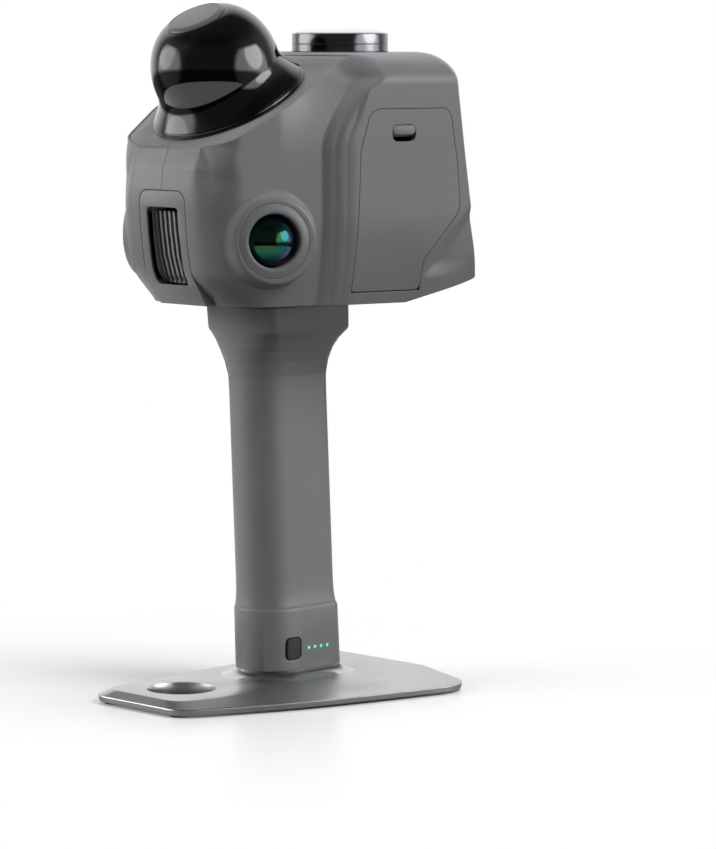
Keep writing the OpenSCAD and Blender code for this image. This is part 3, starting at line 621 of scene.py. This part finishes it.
# the duct wears the lighter copy of the shell plastic, a painted light inside the vent
duct = prism("vent_duct", rounded(-10.6, 7.2, 10.6, 41, 3.2), 58.9, 72, at_nose)
cut(duct, prism("t", VENT, 50, 80, at_nose))
zs = np.linspace(5.5, 46, 60)
cut(duct, across("t", np.r_[np.c_[eased(zs, PANEL) + 0.8, zs],
                            [[DUCT_BACK, zs[-1]], [DUCT_BACK, zs[0]]]], 12), "INTERSECT")
piece(duct, duct_painted_light, "frame", "shell_grey")

# Deck and dome sensor
deck = prism("deck_panel", deck_outline(0), -DECK_T, 0, at_deck)
cut(deck, rod("t", 27.2, -5, 3, at_deck))
soften(deck, 0.5, 3, 40)
piece(deck, shell, "frame", "shell_grey", "lidar_deck")

TRIM_R, DOME_H, CAP_R, CAP_H = 32.5, 38.8, 12.4, 3.4
FOOT_R, FOOT_IN = TRIM_R - 3.5, 2.4
SKIRT_Z, SKIRT_H = 2.4, 10.5
DOME_Z, DOME_SPAN = 1.6, 35.8
WAIST, ABOVE_WAIST = 0.38, 0.62
h = np.r_[np.linspace(SKIRT_Z, 12, 40)[:-1], np.linspace(12, 37.4, 70)]
t = (h - DOME_Z) / DOME_SPAN
neck = FOOT_R - 3.2 + 0.4 * sm((t - 0.12) / 0.26)
skirt = mix(neck, TRIM_R - 0.7, cl(1 - (h - SKIRT_Z) / SKIRT_H) ** 1.6)
bowl = mix(CAP_R, FOOT_R - 2.8,
           np.maximum(0, 1 - (np.maximum(0, t - WAIST) / ABOVE_WAIST) ** 2) ** 0.63)
rad = np.where(t < WAIST, skirt, bowl)
inner = np.c_[np.minimum(rad - 2, FOOT_R - FOOT_IN), 1 + (h - DOME_Z) * 0.94][::-1]
dome = revolve("dome_shell", np.r_[[[FOOT_R, 0], [FOOT_R, 2.22], [TRIM_R - 0.9, 2.24]], np.c_[rad, h], inner,
                                   [[FOOT_R - FOOT_IN, 0]]], at_deck, 192)
piece(dome, dome_black, "frame", "dome_black", "lidar_dome")
# rings as (distance in from the outer radius, height)
TRIM = ((3.4, 0), (0.1, 0), (0, 0.15), (0, 0.65), (0.15, 0.8), (0.8, 1.0), (0.9, 1.2), (0.9, 1.7),
        (1.1, 1.95), (1.9, 2.2), (3.3, 2.2), (3.4, 2.1))
trim = revolve("dome_trim", [[TRIM_R - d, z] for d, z in TRIM], at_deck, 192)
piece(trim, dome_black, "frame", "dome_black", "lidar_trim")
CAP = ((CAP_R, 0), (2.1, 0), (2.1, 2), (0.1, 2), (0, 2.15), (0.25, 2.6), (0.9, 3.05), (1.5, 3.25), (1.7, 3.1),
       (2.0, 3.1), (2.2, 3.3), (3.2, CAP_H), (CAP_R, CAP_H))
cap = revolve("dome_cap", [[CAP_R - d, z] for d, z in CAP], at_deck @ move(0, 0, DOME_H - CAP_H))
piece(cap, cap_grey, "frame", "cap_grey", "lidar_cap")

# Side lenses
GLASS_R, GLASS_TOP, GLASS_BACK = 11.5, 8.4, 0.4
bezel = revolve("lens_ring_right", [[10.75, -3], [15, -3], [15, 4.46], [14.6, 4.56], [14, 4.72], [13.2, 4.95],
                                    [12.4, 5.1], [11.7, 5.15], [11.2, 5.05], [10.9, 4.8], [10.75, 4.4]],
                at_lens, 160)
a = np.radians(np.linspace(0, 67.5, 40))
bulge = np.c_[GLASS_R * np.sin(a), GLASS_TOP - GLASS_R + GLASS_R * np.cos(a)][::-1]
front_glass = revolve("lens_glass_right", np.r_[[[0, GLASS_BACK], [10.65, GLASS_BACK]], bulge], at_lens)
for o, mat, slot, cad in ((bezel, ring_grey, "shell_grey", "bezel"),
                          (front_glass, lens_coat, "lens_glass", "lens")):
    other = mirrored(o, o.name.replace("right", "left"))
    piece(o, mat, "frame", slot, cad + "_right")
    piece(other, mat, "frame", slot, cad + "_left")

# Dock
DOCK_Y, LID_Z = 29.8, 3.3
at_dock = move(0, DOCK_Y, HEAD_Z + HEAD_H)
at_lid = at_dock @ move(0, 0, LID_Z)
dock = revolve("dock_body", [[0, -5.6], [12, -5.6], [12, 0], [19.8, 0], [20, 0.2], [20, 3.2], [19.95, 3.26],
                             [9, 3.26], [9, 6.1], [8.8, 6.3], [0, 6.3]], at_dock, 160)
piece(dock, chrome, "frame", "dark_chrome", "dock_ring")
lid = revolve("dock_lid", [[0, 3.4], [9.4, 3.4], [9.4, 0.04], [19.95, 0.04], [20, 0.09], [20, 3.9],
                           [19.85, 4.3], [19.3, 4.5], [18.4, 4.6], [0, 4.6]], at_lid, 160)
piece(lid, chrome, "dock_cap", "dark_chrome", "dock_cap")
disc = revolve("dock_disc", [[0, 4.4], [18.7, 4.4], [18.8, 4.55], [18.6, 4.85], [17.6, 5.2], [16, 5.6],
                             [13.5, 5.95], [11, 6.2], [7, 6.3], [0, 6.3]], at_lid, 160)
piece(disc, disc_white, "dock_cap", "plate_metal")

# Grip, foot, button and indicators. Half width, front and back are measured from the grip's leaning axis.
GRIP_W, GRIP_F, GRIP_B, GRIP_CORNER = 13.3, 21.5, 18.8, 4.5
FOOT_W, FOOT_F, FOOT_B, FOOT_ROUND, FOOT_CORNER = 14.5, 22.7, 19.8, 15.5, 4
GRIP_LEAN = 2.5


def grip_y(z):
    return -2.5 - (z - 20) * math.tan(math.radians(GRIP_LEAN))


def ring(z, w, f, b, a, r):
    """Section of the grip: a round front of depth a, straight sides and back corners of radius r."""
    c = grip_y(z)
    q = np.radians(np.linspace(0, 90, 31))
    k = np.radians(np.linspace(0, 90, 13))
    p = np.r_[np.c_[w * np.sin(q) ** 0.92, c - f + a - a * np.maximum(0, np.cos(q)) ** 0.92],
              np.c_[np.full(9, w), np.linspace(c - f + a, c + b - r, 11)[1:-1]],
              np.c_[w - r + r * np.cos(k), c + b - r + r * np.sin(k)]]
    p = np.r_[p, (p * (-1, 1))[::-1][:-1]]
    return np.c_[p, np.full(len(p), z)]


# height, what is added to half width, front and back, and the depth of the round front
RINGS = np.array([[35.2, 0.66, 0.66, 0.46, 15.3], [35.7, 0.66, 0.64, 0.46, 15.3],
                  [36.4, 0.58, 0.54, 0.4, 15.2], [37.5, 0.42, 0.38, 0.3, 15.1], [39.5, 0.2, 0.18, 0.14, 15],
                  [42, 0.06, 0.05, 0.05, 15], [46, 0, 0, 0, 15], [125.5, -0.1, 0, -0.2, 15],
                  [131.5, 0, 0.2, -0.1, 15], [137.5, 0.7, 1.4, 0.9, 14.2], [142.5, 2.1, 2.6, 2.5, 13],
                  [146.5, 4, 3.1, 4.6, 11.8], [149.3, 6, 3.5, 6.9, 10.6],
                  [150.2, 6.6, 3.7, 7.1, 10.3], [151, 6.8, 3.8, 7.2, 10.2],
                  [160.2, 7, 4.1, 7.3, 10], [160.8, 6.5, 3.6, 6.8, 10]])
zz = np.unique(np.r_[RINGS[:, 0], np.linspace(46, 125, 30), np.linspace(126, 151, 40)])
dense = np.stack([np.interp(zz, RINGS[:, 0], RINGS[:, k]) for k in range(5)], 1)
flare = (zz > 127) & (zz < 148.5)
for _ in range(2):
    smoothed = dense.copy()
    smoothed[1:-1] = (dense[:-2] + 2 * dense[1:-1] + dense[2:]) / 4
    dense[flare, 1:] = smoothed[flare, 1:]
handle = loft("grip_body", [ring(z, GRIP_W + w, GRIP_F + f, GRIP_B + b, a, GRIP_CORNER)
                            for z, w, f, b, a in dense])
piece(handle, grip, "frame", "grip_grey", "handle_grip")
# height and growth of the foot's outline
FOOT = ((8, 0), (8.1, 0.05), (33.8, -0.14), (34.4, -0.2), (34.9, -0.32), (35.2, -0.44), (35.4, -0.54))
foot = loft("grip_foot", [ring(z, FOOT_W + d, FOOT_F + d, FOOT_B + d, FOOT_ROUND, FOOT_CORNER)
                          for z, d in FOOT])
BTN_Z, BTN_Y = 18.4, -8.4
DOTS_Z = BTN_Z - 0.5
at_button = move(0, grip_y(BTN_Z) + BTN_Y, BTN_Z) @ turn("Z", 90) @ turn("X", 90)
cut(foot, prism("t", rounded(-4.3, -4.7, 4.3, 4.7, 2.2), 9, 24, at_button))
piece(foot, grip, "frame", "grip_grey", "handle_foot")
key = prism("button_key", rounded(-4.0, -4.4, 4.0, 4.4, 1.9), 11.6, 14.6, at_button)
soften(key, 0.5, 4, 50)
piece(key, button_black, "button", "dark_plastic", "power_button")
DOT = [[0, 10.2], [0.7, 10.2], [0.7, 14.5], [0.6, 14.62], [0.35, 14.72], [0, 14.75]]
dots = [revolve("dot", DOT, move(0, grip_y(BTN_Z) + y, DOTS_Z) @ turn("Y", 90), 24)
        for y in (0, 3.5, 7, 10.5)]
piece(join("indicator_dots", dots), led, "frame", "led_green", "led_pipes")

# Standing plate: right halves of the outer rim and of the flat top, from the tip to the back
RIM = np.array([[19, -85], [24.5, -83.6], [28.8, -79], [35.5, -63], [45.4, -37], [53.4, -7], [60.6, 26],
                [61.6, 34], [60.2, 40.5], [56, 46], [50, 49.4], [42, 50.6]])
FLAT = np.array([[14, -82], [19.5, -80.4], [23, -75], [25.4, -62], [26, -37], [28, -7], [29.8, 26],
                 [30.2, 34], [30, 40.5], [29.8, 46], [29.4, 49.4], [28, 50]])
RIM_Z, WING_Z, FLAT_Z, UNDER_Z = 3.3, 1.5, 6.2, 0.8
BORE_Y, BORE_R = -60.2, 14.1
wing = 1 - 0.2 * sm((RIM[:, 1] + 60) / 90)
wing_z = mix(RIM_Z, WING_Z, sm((RIM[:, 1] + 84) / 44))


def closed(right_pts, left_pts, n=14):
    """Smooth closed line through both sides, the same number of points for every ring."""
    p = np.r_[right_pts, left_pts[::-1]]
    a, b, c, d = np.roll(p, 1, 0), p, np.roll(p, -1, 0), np.roll(p, -2, 0)
    out = []
    for i in range(len(p)):
        for u in np.linspace(0, 1, n, endpoint=False):
            if i in (len(right_pts) - 1, len(p) - 1):
                out.append(b[i] + (c[i] - b[i]) * u)
                continue
            ta, tc = (c[i] - a[i]) * 0.5, (d[i] - b[i]) * 0.5
            span = np.linalg.norm(c[i] - b[i])
            ta *= min(1, span / max(1e-6, np.linalg.norm(ta)))
            tc *= min(1, span / max(1e-6, np.linalg.norm(tc)))
            out.append((2 * u**3 - 3 * u**2 + 1) * b[i] + (u**3 - 2 * u**2 + u) * ta
                       + (-2 * u**3 + 3 * u**2) * c[i] + (u**3 - u**2) * tc)
    return np.array(out)


def inset(line, d, z):
    v = line[:, :2] - np.roll(line[:, :2], 1, 0)
    v = v + np.roll(v, -1, 0)
    v /= np.linalg.norm(v, axis=1)[:, None]
    q = line.copy()
    q[:, :2] += np.c_[-v[:, 1], v[:, 0]] * d
    q[:, 2] = z
    return q


rim_line = closed(np.c_[RIM, np.full(len(RIM), RIM_Z)], np.c_[-RIM[:, 0] * wing, RIM[:, 1], wing_z])
flat_z = np.full(len(FLAT), FLAT_Z)
flat_line = closed(np.c_[FLAT, flat_z], np.c_[-FLAT[:, 0], FLAT[:, 1], flat_z])
rim_z = rim_line[:, 2]
lip = np.minimum(0.35, (rim_z - UNDER_Z) * 0.3)
rings = [inset(rim_line, 0.7, UNDER_Z), inset(rim_line, 0.45, UNDER_Z + lip * 0.5),
         inset(rim_line, 0.0, rim_z - lip * 0.7), inset(rim_line, 0.06, rim_z - lip * 0.25)]
rings += [mix(rim_line, flat_line, u) for u in (0.03, 0.1, 0.3, 0.5, 0.7, 0.9, 0.96)]
top_edge = mix(rim_line, flat_line, 1.0)
rings += [top_edge - np.array([0, 0, 0.06]), inset(top_edge, 0.5, FLAT_Z)]
plate = loft("plate_body", rings)
cut(plate, rod("t", BORE_R, -1, 12, move(0, BORE_Y, 0)))
soften(plate, 0.35, 2, 50)
cut(plate, prism("t", rounded(-5, -5, 5, 5, 4.9), -1, 7, move(0, 0, 0)))
# height and growth of the collar that runs from the foot's outline out to the plate's top
COLLAR = ((5.6, 6.6), (6.14, 6.4), (6.3, 5.5), (6.5, 4.6), (6.8, 3.7), (7.2, 2.8), (7.7, 2.0), (8.2, 1.4),
          (8.8, 0.9), (9.3, 0.6), (9.6, 0.4), (9.65, 0.1))
collar = loft("plate_collar", [ring(z, FOOT_W + d, FOOT_F + d, FOOT_B + d, FOOT_ROUND + d, FOOT_CORNER + d)
                               for z, d in COLLAR])
piece(plate, plate_metal, "frame", "plate_metal", "base_plate", angle=24)
piece(collar, collar_metal, "frame", "plate_metal", angle=40)

# Rear display
bez = prism("display_frame", rounded(-41, -29, 41, 33, 4), 0, 1.6, at_rear)
cut(bez, prism("t", rounded(-35, -23, 35, 27, 1.5), -1, 3, at_rear))
soften(bez, 0.4, 3)
piece(bez, dark, "frame", "dark_plastic", "display_bezel")
pane = soften(prism("display_pane", rounded(-34.95, -22.95, 34.95, 26.95, 1.45), -1.4, 1.0, at_rear), 0.25)
piece(pane, pane_black, "frame", "display_black", "display_glass")

# Surroundings: white to camera and transmission rays. Glossy rays see white towards the backdrop, a soft box
# with a bright core on each side, a dim side behind the camera and a dark ground. Other rays see a dim wash.
WHITE = 1.0
UP = (0, 0, 1)
VIEWER, BACKDROP = (0.714, -0.7, 0), (-0.714, 0.7, 0)
LEFT, LEFT_CORE = (-0.7, -0.714, 0), (-0.76, -0.6, 0.25)
RIGHT, RIGHT_CORE = (0.872, 0.461, 0), (0.8, 0.54, 0.28)
world = bpy.data.worlds.new("world")
scene.world = world
world.use_nodes = True
sky = world.node_tree
path = node(sky, "ShaderNodeLightPath")
way = node(sky, "ShaderNodeTexCoord").outputs["Generated"]


def facing(axis, start, end, low, high):
    """Level of the world that goes from low to high as a direction turns towards the axis."""
    d = node(sky, "ShaderNodeVectorMath", operation="DOT_PRODUCT")
    d.inputs[1].default_value = Vector(axis).normalized()
    sky.links.new(way, d.inputs[0])
    return ramp(sky, d.outputs["Value"], start, end, low, high, interpolation_type="SMOOTHSTEP")


def choose(factor, a, b):
    """Level a of the world, or b where the factor is 1."""
    n = node(sky, "ShaderNodeMix", data_type="FLOAT")
    sky.links.new(factor, n.inputs[FACTOR])
    sky.links.new(a, n.inputs[FLOAT_A])
    if isinstance(b, float):
        n.inputs[FLOAT_B].default_value = b
    else:
        sky.links.new(b, n.inputs[FLOAT_B])
    return n.outputs[FLOAT_OUT]


box_top = facing(UP, 0.44, 0.52, 1.0, 0.0)
left_box = both_of(sky, "ADD", facing(LEFT, 0.84, 0.93, 0.0, 1.8),
                   facing(LEFT_CORE, 0.93, 0.965, 0.0, 1.3))
right_box = both_of(sky, "ADD", facing(RIGHT, 0.78, 0.88, 0.0, 1.9),
                    facing(RIGHT_CORE, 0.935, 0.965, 0.0, 3.4))
boxes = both_of(sky, "MULTIPLY", both_of(sky, "ADD", left_box, right_box), box_top)
shine = both_of(sky, "MULTIPLY", facing(VIEWER, 0.25, 0.7, 0.3, 0.08), facing(UP, 0.45, 0.8, 1.0, 0.2))
shine = both_of(sky, "MAXIMUM", both_of(sky, "ADD", shine, boxes), facing(BACKDROP, 0.35, 0.8, 0.0, WHITE))
shine = both_of(sky, "MULTIPLY", shine, facing(UP, -0.14, -0.03, 0.1, 1.0))
wash = both_of(sky, "ADD", facing(LEFT, 0.6, 0.85, 0.0, 1.5), facing(RIGHT, 0.75, 0.88, 0.0, 0.5))
wash = both_of(sky, "ADD", both_of(sky, "MULTIPLY", wash, box_top), facing(VIEWER, 0.25, 0.7, 0.2, 0.1))
wash = both_of(sky, "MULTIPLY", wash, facing(UP, -0.04, 0.08, 0.15, 1.0))
seen = both_of(sky, "MAXIMUM", path.outputs["Is Camera Ray"], path.outputs["Is Transmission Ray"])
level = choose(seen, choose(path.outputs["Is Glossy Ray"], wash, shine), WHITE)
bg = sky.nodes["Background"]
bg.inputs["Color"].default_value = (1, 1, 1, 1)
sky.links.new(level, bg.inputs["Strength"])

# Round floor: keeps the shadow near the object, and turns white away from it to camera, glossy and
# transmission rays. Its own colour is pale to the camera and dark to other rays.
FLOOR_R = 0.6
WHITE_FROM, WHITE_TO = 0.04, 0.26
FLOOR_DARK, FLOOR_PALE = (0.1, 0.1, 0.1, 1), (0.95, 0.95, 0.95, 1)
bm = bmesh.new()
bmesh.ops.create_circle(bm, cap_ends=True, segments=128, radius=FLOOR_R)
floor = from_bmesh("floor", bm)
fm = bpy.data.materials.new("floor")
fm.use_nodes = True
t = fm.node_tree
b = t.nodes["Principled BSDF"]
b.inputs["Roughness"].default_value = 0.3
b.inputs["Specular IOR Level"].default_value = 0.3
path = node(t, "ShaderNodeLightPath")
co = node(t, "ShaderNodeTexCoord")
ln = node(t, "ShaderNodeVectorMath", operation="LENGTH")
t.links.new(co.outputs["Object"], ln.inputs[0])
far = ramp(t, ln.outputs["Value"], WHITE_FROM, WHITE_TO, 0.0, 1.0, interpolation_type="SMOOTHSTEP")
seen = both_of(t, "MAXIMUM", path.outputs["Is Camera Ray"],
               both_of(t, "MAXIMUM", path.outputs["Is Glossy Ray"], path.outputs["Is Transmission Ray"]))
em = node(t, "ShaderNodeEmission", Color=(1, 1, 1, 1), Strength=WHITE)
mx = node(t, "ShaderNodeMixShader")
t.links.new(both_of(t, "MULTIPLY", far, seen), mx.inputs["Fac"])
t.links.new(b.outputs["BSDF"], mx.inputs[1])
t.links.new(em.outputs["Emission"], mx.inputs[2])
own = node(t, "ShaderNodeMix", data_type="RGBA")
own.inputs[COLOR_A].default_value = FLOOR_DARK
own.inputs[COLOR_B].default_value = FLOOR_PALE
t.links.new(path.outputs["Is Camera Ray"], own.inputs[FACTOR])
t.links.new(own.outputs[COLOR_OUT], b.inputs["Base Color"])
t.links.new(mx.outputs["Shader"], t.nodes["Material Output"].inputs["Surface"])
floor.data.materials.append(fm)

# Soft lamps, aimed at the middle of the part
AIM = Vector((0, 0, 0.17))


def softbox(name, where, size, energy):
    d = bpy.data.lights.new(name, "AREA")
    d.energy = energy
    d.size = size
    o = add(name, d)
    o.location = where
    o.rotation_euler = (AIM - Vector(where)).to_track_quat("-Z", "Y").to_euler()
    o.visible_glossy = False


softbox("left_box", (-1.1, -1.7, 1.1), 1.1, 21)
softbox("right_box", (1.75, 0.65, 1.95), 1.1, 33)
softbox("top_box", (0.25, 0.35, 2.1), 0.9, 15)
